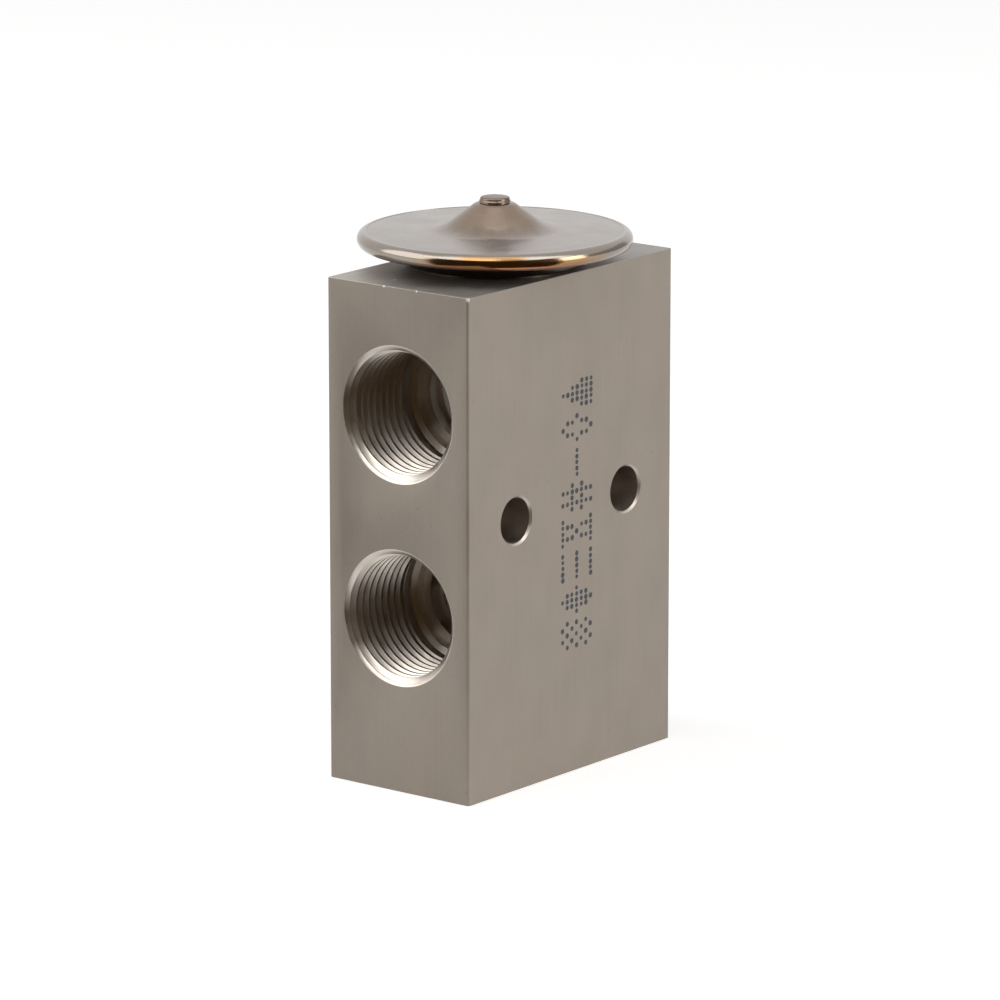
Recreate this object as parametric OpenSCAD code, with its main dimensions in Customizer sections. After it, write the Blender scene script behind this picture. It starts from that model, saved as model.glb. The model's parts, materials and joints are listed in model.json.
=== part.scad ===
// Block-type refrigerant expansion valve. An extruded aluminium block holds four threaded
// ports and a spring-loaded ball valve, and a welded steel power head sits on its top face.
// Millimetres. Origin at the centre of the base, +Z up, front port face towards -Y.

/* [Block] */
// Width across the two bolt faces
block_w = 25.4; // [25:0.1:32]
// Depth between the two port faces
block_d = 47.1; // [46:0.1:60]
// Height of the extruded block
block_h = 73; // [72.8:0.1:90]
// Radius on the four upright edges
edge_r = 0.4; // [0.2:0.1:1.5]
// Place of the valve axis along Y, negative towards the front
axis_y = -1.5; // [-2:0.1:1]

/* [Threaded ports] */
// Height of the two suction ports
suction_z = 54.8; // [54:0.1:55.4]
// Height of the outlet port on the front face
outlet_z = 25.4; // [25:0.1:26.2]
// Height of the liquid inlet port on the rear face
inlet_z = 12.3; // [11.8:0.1:12.8]
// Radius at the thread crests of a large port, 3/4-18
crest_r = 8.76; // [8.6:0.01:8.9]
// Radius at the thread crests of the inlet port, 5/8-18
inlet_crest_r = 7.175; // [7:0.005:7.4]
// How far the countersunk mouth of a port lies outside its thread crests, at the face
mouth_step = 1.12; // [0.8:0.01:1.4]
// Depth of the countersunk mouth
mouth_depth = 1.1; // [0.7:0.1:1.6]
// Depth at which the thread ends
thread_end = 12.1; // [10:0.1:12.4]
// How far the relief groove behind the thread lies outside the crests
relief_step = 0.44; // [0.3:0.01:0.7]
// Width of the relief groove
relief_len = 0.85; // [0.5:0.05:1.2]
// How far the tube seat bore lies inside the crests
seat_step = 0.41; // [0.3:0.01:1]
// Length of the cone that leads from the relief into the tube seat
seat_cone = 0.5; // [0.3:0.05:0.9]
// Depth of the large ports to their floor
port_depth = 16; // [15:0.1:17]
// Radius of the counterbore in the floor of a large port
lead_r = 7; // [6.9:0.05:7.4]
// Depth of that counterbore
lead_len = 2.2; // [1:0.1:2.6]
// Radius of the passage that leads on from a large port
passage_r = 6.5; // [6:0.1:6.8]
// How far the outlet passage runs past the valve axis
outlet_past = 3.5; // [2.5:0.1:4]
// Depth of the inlet port to its floor
inlet_depth = 14.5; // [14:0.1:15.5]
// Radius of the passage from the inlet port to the valve chamber
inlet_passage_r = 3; // [2.5:0.1:3.2]

/* [Bolt holes] */
// Radius of the two cross holes
bolt_r = 3.32; // [3:0.01:3.5]
// Distance between the two cross holes
bolt_spacing = 25.4; // [24.6:0.1:27]
// Height of the two cross holes
bolt_z = 39.4; // [39:0.1:40]
// Depth of the small countersink at each end of a cross hole
bolt_sink = 0.3; // [0.1:0.05:0.6]

/* [Ball valve] */
// Radius of the metering orifice
orifice_r = 1.8; // [1.6:0.05:1.9]
// Length of the orifice below the outlet passage
orifice_len = 2; // [1.6:0.1:2.4]
// Height of the conical ball seat
seat_cone_h = 0.9; // [0.8:0.05:1]
// Radius of the valve chamber under the seat
chamber_r = 5.2; // [5.1:0.05:5.6]
// Radius of the ball
ball_r = 2.8; // [2.7:0.05:2.9]
// Gap between the ball and its seat, and where pieces of the train only touch
touch = 0.05; // [0.02:0.01:0.08]
// Travel of the valve train
stroke = 0.8; // [0.6:0.1:0.9]
// Radius of the working rod
rod_r = 1.1; // [1:0.05:1.25]
// Running clearance round the working rod
rod_clear = 0.08; // [0.04:0.01:0.1]
// Length of the rod's guide above the outlet passage
rod_guide = 6.6; // [6:0.1:7.4]
// Length of rod held in the sensing shaft
rod_grip = 3.9; // [3:0.1:6]
// Clearance round pieces that are pressed or screwed together
seated = 0.03; // [0.02:0.01:0.05]

/* [Sensing shaft] */
// Radius of the sensing shaft
shaft_r = 3; // [2.8:0.05:3.2]
// Running clearance round the sensing shaft
shaft_clear = 0.06; // [0.03:0.01:0.1]
// Room under the sensing shaft at rest
shaft_room = 1.5; // [1.2:0.1:2]
// Radius of the recess for the shaft seal
seal_recess_r = 5; // [4.9:0.05:5.4]
// Depth of that recess below the suction passage
seal_recess_h = 3.3; // [3:0.1:3.8]
// Thickness of the star washer that holds the shaft seal
washer_t = 0.5; // [0.4:0.05:0.8]
// Notches round the star washer
washer_notches = 8; // [6:1:10]
// Radius of the vapour hole between the suction passage and the head
vent_r = 5; // [4.6:0.1:5.6]

/* [Ball holder and spring] */
// Radius of the holder's flange
flange_r = 4.3; // [4.2:0.05:4.35]
// Thickness of the holder's flange
flange_t = 1.1; // [0.9:0.05:1.3]
// Radius of the boss that cups the ball
cup_r = 3; // [2.9:0.05:3.2]
// Height of that boss above the flange
cup_h = 1.7; // [1.5:0.05:1.9]
// Solid metal between the ball and the top face of the flange
cup_floor = 0.35; // [0.3:0.05:0.5]
// Gap between the holder's stem and the spring round it
stem_gap = 0.35; // [0.2:0.05:0.6]
// Length of the stem below the flange
stem_len = 1.8; // [1.4:0.1:2]
// Sheet thickness of the damper
damper_t = 0.2; // [0.15:0.05:0.25]
// Legs of the damper
damper_legs = 4; // [3:1:6]
// Angle that each damper leg takes up
damper_leg_angle = 26; // [18:1:36]
// Mean radius of the superheat spring
spring_r = 2.6; // [2.5:0.05:2.65]
// Wire diameter of the superheat spring
wire_d = 0.7; // [0.6:0.05:0.75]
// Turns of the superheat spring, with one closed turn at each end
spring_turns = 5; // [4.5:0.5:5.5]

/* [Adjusting screw] */
// Radius of the threaded hole in the base, M12
screw_bore_r = 6; // [5.9:0.05:6.3]
// Depth of that threaded hole
screw_bore_h = 4.2; // [4.1:0.1:4.6]
// Running clearance round the adjusting screw
screw_clear = 0.1; // [0.05:0.01:0.12]
// How far the screw lies inside the base
screw_inset = 0.9; // [0.8:0.05:0.95]
// Length of the threaded part of the screw
screw_thread_len = 2.4; // [2:0.05:2.45]
// Overall length of the screw
screw_len = 6.5; // [6.4:0.1:6.7]
// Width across the flats of its hexagon socket
hex_af = 6; // [5:0.1:6]
// Depth of the hexagon socket
hex_depth = 2.5; // [2:0.1:2.6]
// Solid metal between the hexagon socket and the spring pocket
screw_floor = 1.2; // [1:0.1:1.3]
// Gap round the spring in its pocket
pocket_gap = 0.15; // [0.1:0.01:0.25]
// Radial depth of the seal groove
groove_depth = 0.9; // [0.8:0.05:1]
// Height of the seal groove above the bottom of the screw
groove_z = 4.1; // [3.8:0.1:4.2]

/* [Power head] */
// Overall radius of the head
head_r = 19.66; // [19:0.02:20.4]
// Height of the diaphragm above the block
rim_z = 3.65; // [3.6:0.05:4.2]
// Sheet thickness of both covers
sheet_t = 1; // [0.8:0.05:1.05]
// Thickness of the diaphragm
diaphragm_t = 0.15; // [0.1:0.05:0.2]
// How far the weld bead stands over the covers
weld_over = 0.025; // [0.02:0.005:0.06]
// Width of the flange in which the covers clamp the diaphragm
clamp_w = 2.4; // [2:0.1:2.8]
// Distance of the faint ring line on the upper cover from the cover's edge
land_w = 1.9; // [1.4:0.1:2]
// Rise of the upper cover from its edge to that line
land_rise = 0.125; // [0.1:0.005:0.2]
// Rise of the upper cover from its edge to the foot of the cone
web_rise = 0.42; // [0.38:0.01:0.6]
// Radius at the foot of the cone
cone_r = 7.7; // [7:0.1:8.4]
// Rise of the upper cover from its edge to the top of the cone
cone_rise = 3.86; // [3.4:0.02:4.4]
// Length of the flare at the foot of the cone
flare = 1.6; // [1.2:0.1:2]
// Radius of the neck on top of the cone
nose_r = 1.95; // [1.8:0.05:2.1]
// Height of that neck
nose_h = 0.32; // [0.2:0.02:0.5]
// Radius of the charge hole
charge_r = 1.15; // [1:0.05:1.3]
// How far the charge plug's cap stands over the neck
cap_over = 0.2; // [0.1:0.05:0.4]
// Height of the charge plug's cap
cap_h = 0.9; // [0.7:0.05:1.1]
// Rounding of the charge plug's cap
cap_round = 0.25; // [0.1:0.05:0.35]
// Length of the charge plug's stem
plug_len = 1; // [0.6:0.1:1.2]
// Radius of the thrust plate under the diaphragm
plate_r = 11; // [10:0.1:11.3]
// Thickness of the thrust plate
plate_t = 1.2; // [1:0.05:1.3]
// Radius of the thrust plate's boss
boss_r = 4.6; // [4.2:0.1:5]
// Length of the thrust plate's boss
boss_len = 3.9; // [3.6:0.1:4.6]
// Depth of the shaft's socket in that boss
socket_h = 3; // [2.5:0.1:3.4]
// Vapour holes through the thrust plate
plate_holes = 6; // [4:1:8]
// Radius of each vapour hole
plate_hole_r = 0.9; // [0.7:0.1:1.1]
// Gap round the thrust plate in the lower cover
dish_gap = 1.3; // [1:0.1:1.5]
// Room left under the thrust plate at full travel
stop_room = 0.1; // [0.05:0.01:0.2]
// Width of the collar's seat on the block outside the packing recess
hub_land = 1.25; // [1:0.05:1.4]
// Radius of the threaded neck of the lower cover
neck_r = 8.95; // [8.8:0.05:9.2]
// Length of that neck in the block
neck_len = 6.5; // [6:0.1:6.8]
// Radius of the hole through that neck
neck_hole_r = 6.9; // [6.6:0.1:7.2]
// Room under the neck in the block
neck_room = 1; // [0.7:0.1:1.2]
// Thread clearance round the neck
neck_clear = 0.05; // [0.03:0.01:0.08]
// Radial width of the packing recess round the neck
packing_w = 1.2; // [1.1:0.05:1.3]
// Depth of the packing recess
packing_h = 1.3; // [1.2:0.05:1.4]

/* [Hidden] */
$fn = 96;

// Overshoot of a cut beyond the face that it opens
over = 1;

aluminium = [0.60, 0.56, 0.52];
stainless = [0.70, 0.66, 0.62];
weld_tint = [0.66, 0.55, 0.40];
steel = [0.72, 0.72, 0.74];
brass = [0.78, 0.66, 0.38];
rubber = [0.10, 0.11, 0.12];

// Heights along the valve axis, from the outlet passage down
outlet_floor_z = outlet_z - passage_r;
cone_top_z = outlet_floor_z - orifice_len;
chamber_top_z = cone_top_z - seat_cone_h;
ball_z = cone_top_z + orifice_r - (ball_r + touch) * sqrt(2);
flange_top_z = ball_z - ball_r - cup_floor;
flange_z = flange_top_z - flange_t;
pocket_z = screw_inset + hex_depth + screw_floor;
pocket_r = spring_r + wire_d / 2 + pocket_gap;
stem_r = spring_r - wire_d / 2 - stem_gap;

// Heights along the valve axis, from the outlet passage up
guide_floor_z = outlet_z + passage_r + rod_guide;
shaft_z = guide_floor_z + shaft_room;
rod_z = ball_z + ball_r + touch;
rod_top_z = shaft_z + rod_grip;
suction_floor_z = suction_z - passage_r;
seal_floor_z = suction_floor_z - seal_recess_h;

// Head heights above the block, and the radius at which the covers meet the weld
stack_h = sheet_t + diaphragm_t / 2;
bead_r = stack_h + weld_over;
bead_centre_r = head_r - bead_r;
cover_r = bead_centre_r - sqrt(bead_r * bead_r - stack_h * stack_h);
clamp_r = cover_r - clamp_w;
land_r = cover_r - land_w;
cover_top = rim_z + stack_h;
plate_top = rim_z - diaphragm_t / 2 - touch;
dish_floor = plate_top - plate_t - stroke - stop_room;
cone_top = cover_top + cone_rise;
nose_top = cone_top + nose_h;
shaft_top = plate_top - plate_t - boss_len + socket_h;
neck_bore_r = neck_r + neck_clear;
neck_bore_h = neck_len + neck_room;
hub_r = neck_r + packing_w + hub_land;
cap_r = nose_r + cap_over;

// Seal rings: each fills its groove less the seated clearance
shaft_seal_w = seal_recess_r - shaft_r;
shaft_seal_r = shaft_seal_w / 2 - seated;
groove_r = chamber_r - screw_clear - groove_depth;
adjuster_seal_r = (chamber_r - groove_r) / 2 - seated;
groove_h = 2 * (adjuster_seal_r + seated);
packing_r = min(packing_w - neck_clear, packing_h) / 2 - seated;

function unit(v) = v / norm(v);
function left(v) = [-v[1], v[0]];

// Corner b of the path a, b, c, moved to the left by t with a mitred joint
function mitre(a, b, c, t) =
    let (n1 = left(unit(b - a)), n2 = left(unit(c - b)))
    b + t * (n1 + n2) / (1 + n1 * n2);

// Arc that rounds corner b of the path a, b, c and takes away the length cut on each side
function fillet(a, b, c, cut, steps = 6) =
    let (
        u = unit(a - b),
        v = unit(c - b),
        half = acos(u * v) / 2,
        centre = b + unit(u + v) * cut / cos(half),
        s = b + u * cut - centre,
        e = b + v * cut - centre,
        start = atan2(s[1], s[0]),
        sweep = (atan2(e[1], e[0]) - start + 540) % 360 - 180
    )
    [for (i = [0:steps]) centre + norm(s) * [cos(start + sweep * i / steps), sin(start + sweep * i / steps)]];

// Places its children on the valve axis at height z
module on_axis(z = 0) {
    translate([0, axis_y, z]) children();
}

// Turns a revolved shape so that its +Z runs into the block from the front or rear face
module into_front(z) {
    translate([0, -block_d / 2, z]) rotate([-90, 0, 0]) children();
}

module into_rear(z) {
    translate([0, block_d / 2, z]) rotate([90, 0, 0]) children();
}

module tube(outer, inner, height) {
    difference() {
        cylinder(r = outer, h = height);
        translate([0, 0, -over]) cylinder(r = inner, h = height + 2 * over);
    }
}

module torus(ring_r, section_r) {
    rotate_extrude() translate([ring_r, 0]) circle(r = section_r, $fn = 48);
}

// Bore of a threaded port: countersunk mouth, thread crests, relief, tube seat and floor
module port_bore(crest, depth) {
    mouth = crest + mouth_step;
    relief = crest + relief_step;
    seat = crest - seat_step;
    relief_z = thread_end + relief_step;
    seat_z = relief_z + relief_len;
    rotate_extrude() polygon([
        [0, -over], [mouth, -over], [mouth, 0], [crest, mouth_depth], [crest, thread_end],
        [relief, relief_z], [relief, seat_z],
        [seat, seat_z + seat_cone], [seat, depth], [0, depth]
    ]);
}

// Counterbore that leads from the floor of a large port into its passage
module lead_bore() {
    translate([0, 0, port_depth - over]) cylinder(r = lead_r, h = lead_len + over);
}

// Outline of the extruded bar with its rounded upright edges
module bar_outline() {
    square([block_w - 2 * edge_r, block_d], center = true);
    square([block_w, block_d - 2 * edge_r], center = true);
    for (x = [-1, 1], y = [-1, 1])
        translate([x * (block_w / 2 - edge_r), y * (block_d / 2 - edge_r)]) circle(r = edge_r);
}

module suction_way() {
    into_front(suction_z) {
        port_bore(crest_r, port_depth);
        lead_bore();
    }
    into_rear(suction_z) {
        port_bore(crest_r, port_depth);
        lead_bore();
    }
    into_front(suction_z) translate([0, 0, port_depth - over])
        cylinder(r = passage_r, h = block_d - 2 * (port_depth - over));
}

module outlet_way() {
    into_front(outlet_z) {
        port_bore(crest_r, port_depth);
        lead_bore();
    }
    into_front(outlet_z) translate([0, 0, port_depth - over])
        cylinder(r = passage_r, h = block_d / 2 + axis_y + outlet_past - port_depth + over);
}

module inlet_way() {
    into_rear(inlet_z) port_bore(inlet_crest_r, inlet_depth);
    into_rear(inlet_z) cylinder(r = inlet_passage_r, h = block_d / 2 - axis_y);
}

// Stepped bore down the valve axis, from the head's neck to the adjusting screw
module axis_bore() {
    on_axis(block_h - neck_bore_h) cylinder(r = neck_bore_r, h = neck_bore_h + over);
    on_axis(block_h - packing_h) cylinder(r = neck_r + packing_w, h = packing_h + over);
    on_axis(suction_z) cylinder(r = vent_r, h = block_h - suction_z);
    on_axis(seal_floor_z) cylinder(r = seal_recess_r, h = suction_z - seal_floor_z);
    on_axis(guide_floor_z) cylinder(r = shaft_r + shaft_clear, h = suction_z - guide_floor_z);
    on_axis(outlet_z) cylinder(r = rod_r + rod_clear, h = guide_floor_z - outlet_z + over);
    on_axis(chamber_top_z) cylinder(r = orifice_r, h = outlet_z - chamber_top_z);
    on_axis(chamber_top_z) cylinder(r1 = orifice_r + seat_cone_h, r2 = orifice_r, h = seat_cone_h);
    on_axis(-over) cylinder(r = chamber_r, h = chamber_top_z + over);
    on_axis(-over) cylinder(r = screw_bore_r, h = screw_bore_h + over);
}

module bolt_hole() {
    rotate([0, 90, 0]) {
        cylinder(r = bolt_r, h = block_w + 2 * over, center = true);
        for (side = [0, 1]) mirror([0, 0, side])
            translate([0, 0, block_w / 2 - bolt_sink])
                cylinder(r1 = bolt_r, r2 = bolt_r + bolt_sink + over, h = bolt_sink + over);
    }
}

module valve_body() {
    color(aluminium) difference() {
        linear_extrude(height = block_h) bar_outline();
        suction_way();
        outlet_way();
        inlet_way();
        axis_bore();
        for (side = [-1, 1]) translate([0, side * bolt_spacing / 2, bolt_z]) bolt_hole();
    }
}

// Pressed lower cover: rim flange, dish for the thrust plate, seating collar and threaded neck
module head_lower_cover() {
    clamp_z = rim_z - diaphragm_t / 2;
    rim_in = [cover_r, clamp_z];
    clamp_in = [clamp_r, clamp_z];
    dish_in = [plate_r + dish_gap, dish_floor];
    floor_in = [neck_hole_r, dish_floor];
    clamp_out = mitre(rim_in, clamp_in, dish_in, sheet_t);
    dish_out = mitre(clamp_in, dish_in, floor_in, sheet_t);
    rim_out = [cover_r, clamp_z - sheet_t];
    hub_out = [hub_r, dish_floor - sheet_t];
    bend = sheet_t / 2;
    color(stainless) on_axis(block_h) rotate_extrude() polygon(concat(
        [rim_in],
        fillet(rim_in, clamp_in, dish_in, bend),
        fillet(clamp_in, dish_in, floor_in, bend),
        [floor_in, [neck_hole_r, -neck_len], [neck_r, -neck_len], [neck_r, 0], [hub_r, 0], hub_out],
        fillet(hub_out, dish_out, clamp_out, bend),
        fillet(dish_out, clamp_out, rim_out, bend),
        [rim_out]
    ));
}

// Pressed upper cover: flat land, flared cone and neck, of one sheet thickness
module head_upper_cover() {
    clamp_z = rim_z + diaphragm_t / 2;
    edge = [cover_r, cover_top];
    land = [land_r, cover_top + land_rise];
    foot = [cone_r, cover_top + web_rise];
    peak = [nose_r, cone_top];
    foot_in = mitre(land, foot, peak, sheet_t);
    web_fall = (web_rise - land_rise) / (land_r - cone_r);
    cone_climb = (cone_rise - web_rise) / (cone_r - nose_r);
    free_r = clamp_r - sheet_t / 2;
    free_in = [free_r, foot_in[1] - (free_r - foot_in[0]) * web_fall];
    hole_in = [charge_r, foot_in[1] + (foot_in[0] - charge_r) * cone_climb];
    color(stainless) on_axis(block_h) rotate_extrude() polygon(concat(
        [edge],
        fillet(edge, land, foot, sheet_t / 2, 3),
        fillet(land, foot, peak, flare, 8),
        [peak, [nose_r, nose_top], [charge_r, nose_top], hole_in],
        fillet(hole_in, foot_in, free_in, flare, 8),
        [free_in, [clamp_r, clamp_z], [cover_r, clamp_z]]
    ));
}

// Half-round bead that joins both covers and the diaphragm
module rim_weld_bead() {
    color(weld_tint) on_axis(block_h + rim_z) rotate_extrude() difference() {
        translate([bead_centre_r, 0]) circle(r = bead_r, $fn = 64);
        translate([0, -head_r]) square([cover_r, 2 * head_r]);
    }
}

// Corrugated diaphragm clamped between the covers
module diaphragm() {
    first_r = plate_r + dish_gap / 2;
    waves = 2;
    wave_h = 0.1;
    steps = 24;
    pitch = (clamp_r - dish_gap / 2 - first_r) / waves;
    crest = [for (i = [0:steps]) let (u = waves * i / steps) [first_r + u * pitch, wave_h * (1 - cos(360 * u)) / 2]];
    upper = concat([[0, 0]], crest, [[cover_r, 0]]);
    lower = [for (i = [len(upper) - 1:-1:0]) upper[i] - [0, diaphragm_t]];
    color(steel) on_axis(block_h + rim_z + diaphragm_t / 2) rotate_extrude() polygon(concat(upper, lower));
}

// Plug that seals the charge hole, with a rounded cap on the neck
module charge_plug() {
    stem_r = charge_r - seated;
    top_in = [0, cap_h];
    top_out = [cap_r, cap_h];
    color(stainless) on_axis(block_h + nose_top) rotate_extrude() polygon(concat(
        [[0, -plug_len], [stem_r, -plug_len], [stem_r, 0], [cap_r, 0]],
        fillet([cap_r, 0], top_out, top_in, cap_round),
        [top_in]
    ));
}

module head_packing() {
    color(rubber) on_axis(block_h - packing_h / 2) torus(neck_r + packing_w / 2, packing_r);
}

// Plate that the diaphragm pushes, with the boss that takes the sensing shaft
module thrust_plate() {
    hole_ring_r = (boss_r + plate_r) / 2;
    color(steel) on_axis(block_h + plate_top - plate_t) difference() {
        union() {
            cylinder(r = plate_r, h = plate_t);
            translate([0, 0, -boss_len]) cylinder(r = boss_r, h = boss_len + plate_t);
        }
        translate([0, 0, -boss_len - over]) cylinder(r = shaft_r + seated, h = socket_h + over);
        for (k = [0:plate_holes - 1]) rotate(360 * k / plate_holes)
            translate([hole_ring_r, 0, -over]) cylinder(r = plate_hole_r, h = plate_t + 2 * over);
    }
}

module sensing_shaft() {
    color(aluminium) difference() {
        on_axis(shaft_z) cylinder(r = shaft_r, h = block_h + shaft_top - shaft_z);
        on_axis(shaft_z - over) cylinder(r = rod_r + seated, h = rod_grip + over);
    }
}

module working_rod() {
    color(steel) on_axis(rod_z) cylinder(r = rod_r, h = rod_top_z - rod_z);
}

module shaft_seal() {
    color(rubber) on_axis(seal_floor_z + shaft_seal_w / 2)
        torus((shaft_r + seal_recess_r) / 2, shaft_seal_r);
}

// Star washer pressed over the shaft seal
module seal_washer() {
    outer = seal_recess_r - seated;
    inner = shaft_r + shaft_clear;
    notch = (outer - inner) / 3;
    color(steel) on_axis(seal_floor_z + shaft_seal_w + seated) difference() {
        tube(outer, inner, washer_t);
        for (k = [0:washer_notches - 1]) rotate(360 * k / washer_notches)
            translate([outer, 0, washer_t / 2]) cube([2 * notch, notch, washer_t + over], center = true);
    }
}

module valve_ball() {
    color(steel) on_axis(ball_z) sphere(r = ball_r);
}

// Holder with the cup for the ball, the spring flange and the stem inside the spring
module ball_holder() {
    color(brass) difference() {
        on_axis(flange_z - stem_len) rotate_extrude() polygon([
            [0, 0], [stem_r, 0], [stem_r, stem_len], [flange_r, stem_len],
            [flange_r, stem_len + flange_t], [cup_r, stem_len + flange_t],
            [cup_r, stem_len + flange_t + cup_h], [0, stem_len + flange_t + cup_h]
        ]);
        on_axis(ball_z) sphere(r = ball_r + seated);
    }
}

// Sheet ring on the holder's flange, with sprung legs that rub on the chamber wall
module damper_spring() {
    ring_in = cup_r + seated;
    leg_in = flange_r + seated;
    leg_out = leg_in + damper_t;
    wall = chamber_r - touch;
    drop = flange_t + stem_len / 3;
    foot_h = 2 * damper_t;
    leg_pitch = 360 / damper_legs;
    color(steel) on_axis(flange_top_z) difference() {
        rotate_extrude() polygon([
            [ring_in, 0], [leg_in, 0], [leg_in, -drop / 2], [wall - damper_t, -drop], [wall, -drop],
            [wall, foot_h - drop], [leg_out, foot_h - drop / 2], [leg_out, damper_t], [ring_in, damper_t]
        ]);
        for (k = [0:damper_legs - 1]) rotate(k * leg_pitch) translate([0, 0, -2 * drop])
            rotate_extrude(angle = leg_pitch - damper_leg_angle)
                square([chamber_r + over, 2 * drop - damper_t]);
    }
}

// Height of the spring wire above its lowest point, after a number of turns
function spring_rise(turn, closed, active) =
    closed * min(turn, 1) + active * max(0, min(turn, spring_turns - 1) - 1)
    + closed * max(0, turn - (spring_turns - 1));

// Compression spring of round wire with closed ends, swept along its helix
module superheat_spring() {
    sides = 8;
    steps = ceil(spring_turns * 24);
    low = pocket_z + seated + wire_d / 2;
    high = flange_z - seated - wire_d / 2;
    closed = wire_d + seated;
    active = (high - low - 2 * closed) / (spring_turns - 2);
    points = [
        for (i = [0:steps]) let (turn = spring_turns * i / steps)
        for (k = [0:sides - 1]) let (
            a = 360 * turn,
            b = 360 * k / sides,
            r = spring_r + wire_d / 2 * cos(b)
        ) [r * cos(a), r * sin(a), low + spring_rise(turn, closed, active) + wire_d / 2 * sin(b)]
    ];
    skin = [
        for (i = [0:steps - 1], k = [0:sides - 1]) let (
            a = i * sides + k,
            b = i * sides + (k + 1) % sides,
            c = a + sides,
            d = b + sides
        ) each [[a, b, d], [a, d, c]]
    ];
    last = steps * sides;
    ends = [[for (k = [sides - 1:-1:0]) k], [for (k = [0:sides - 1]) last + k]];
    color(steel) on_axis(0) polyhedron(points = points, faces = concat(skin, ends), convexity = 10);
}

// Screw plug with a hexagon socket below, a seal groove and a spring pocket above
module adjusting_screw() {
    land_r = chamber_r - screw_clear;
    color(brass) on_axis(screw_inset) difference() {
        union() {
            cylinder(r = screw_bore_r - screw_clear, h = screw_thread_len);
            cylinder(r = land_r, h = screw_len);
        }
        translate([0, 0, groove_z]) tube(land_r + over, groove_r, groove_h);
        translate([0, 0, hex_depth + screw_floor]) cylinder(r = pocket_r, h = screw_len);
        translate([0, 0, -over]) cylinder(r = hex_af / sqrt(3), h = hex_depth + over, $fn = 6);
    }
}

module adjuster_seal() {
    color(rubber) on_axis(screw_inset + groove_z + groove_h / 2)
        torus((chamber_r + groove_r) / 2, adjuster_seal_r);
}

valve_body();
head_lower_cover();
head_upper_cover();
rim_weld_bead();
diaphragm();
charge_plug();
head_packing();
thrust_plate();
sensing_shaft();
working_rod();
shaft_seal();
seal_washer();
valve_ball();
ball_holder();
damper_spring();
superheat_spring();
adjusting_screw();
adjuster_seal();
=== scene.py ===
"""Looks of a block-type refrigerant expansion valve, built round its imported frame."""
import json
import math

import bmesh
import bpy
from bpy.props import FloatProperty, FloatVectorProperty, IntProperty, PointerProperty
from bpy.types import Operator, Panel, PropertyGroup
from mathutils import Matrix, Vector


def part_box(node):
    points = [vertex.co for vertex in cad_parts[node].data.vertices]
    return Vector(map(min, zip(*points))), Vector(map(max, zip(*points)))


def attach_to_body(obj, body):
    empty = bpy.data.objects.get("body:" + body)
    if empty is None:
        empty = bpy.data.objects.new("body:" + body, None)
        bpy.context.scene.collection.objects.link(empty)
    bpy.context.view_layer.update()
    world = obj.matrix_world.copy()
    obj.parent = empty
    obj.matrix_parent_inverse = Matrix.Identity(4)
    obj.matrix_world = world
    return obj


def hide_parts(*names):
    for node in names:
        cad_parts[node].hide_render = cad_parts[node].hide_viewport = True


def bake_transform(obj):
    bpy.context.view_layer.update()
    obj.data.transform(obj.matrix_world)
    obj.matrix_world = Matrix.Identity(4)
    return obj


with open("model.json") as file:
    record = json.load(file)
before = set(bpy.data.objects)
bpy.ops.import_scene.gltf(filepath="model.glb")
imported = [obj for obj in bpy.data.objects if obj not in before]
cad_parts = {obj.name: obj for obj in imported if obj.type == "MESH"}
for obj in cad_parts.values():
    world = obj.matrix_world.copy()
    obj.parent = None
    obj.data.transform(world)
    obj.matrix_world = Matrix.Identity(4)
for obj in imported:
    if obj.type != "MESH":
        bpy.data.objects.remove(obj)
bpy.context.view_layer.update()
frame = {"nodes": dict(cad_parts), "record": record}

bl_info = {
    "name": "Expansion valve",
    "version": (1, 0, 0),
    "blender": (4, 5, 0),
    "location": "3D View > Sidebar > Valve",
    "description": "Builds and finishes a block-type refrigerant expansion valve",
    "category": "Add Mesh",
}

MM = 0.001
OUT = 1 * MM    # how far a cutter runs past what it cuts
BLOCK_LOW, BLOCK_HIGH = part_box("valve_body")
MOUNTS = {mount["name"]: mount for mount in frame["record"]["mounts"]}
UP = Vector((0, 0, 1))


# Marks, tints and lights, listed one by one

NICKS = (
    # x, y, depth under the top and radius, in mm
    (-2.4, -23.5, 0.0, 0.3), (-3.8, -19.4, 0.0, 0.38), (12.6, -23.5, 0.2, 0.4), (3.5, -23.5, 0.1, 0.2),
)
# Colour of the nicks: bare metal with a painted glint of their burrs
NICK_GLINT_COLOUR = (0.78, 0.77, 0.75)
TINT_AZIMUTH = 46.0
TINT_CORE_AZIMUTH = 37.0
DARK_DISTANCE = 0.7
GLOW_DISTANCE = 0.95
GLOW_SIDES = (
    # name, left and right azimuth, low and high elevation, brightness
    ("left_strip", -36, 42, 39, 72, 3.0),
    ("right_strip", 70, 116, 39, 72, 3.0),
    ("grey_side", 118, 180, 0.5, 26, 0.5),
)
LAMPS = (
    # name, azimuth, elevation, distance, size, watts, tint
    ("overhead_box", 40, 76, 1.1, 0.8, 1.6, (1.0, 1.0, 1.0)),
    ("left_box", -46, 33, 1.0, 0.9, 4.4, (1.0, 0.99, 0.98)),
    ("right_box", 100, 14, 1.2, 0.8, 8.3, (1.0, 0.99, 0.98)),
)


# Places that the frame gives

AXIS_Y = sum(corner.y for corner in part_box("rim_weld_bead")) / 2
BLOCK_TOP = BLOCK_HIGH.z


def on_axis(height=0.0):
    """Moves a shape to the valve axis, at a height."""
    return Matrix.Translation((0, AXIS_Y, height))


def facing(point, direction):
    """Turns a shape's Z axis to a direction and moves its origin to a point."""
    turn = Vector(direction).to_track_quat("Z", "Y").to_matrix().to_4x4()
    return Matrix.Translation(point) @ turn


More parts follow.
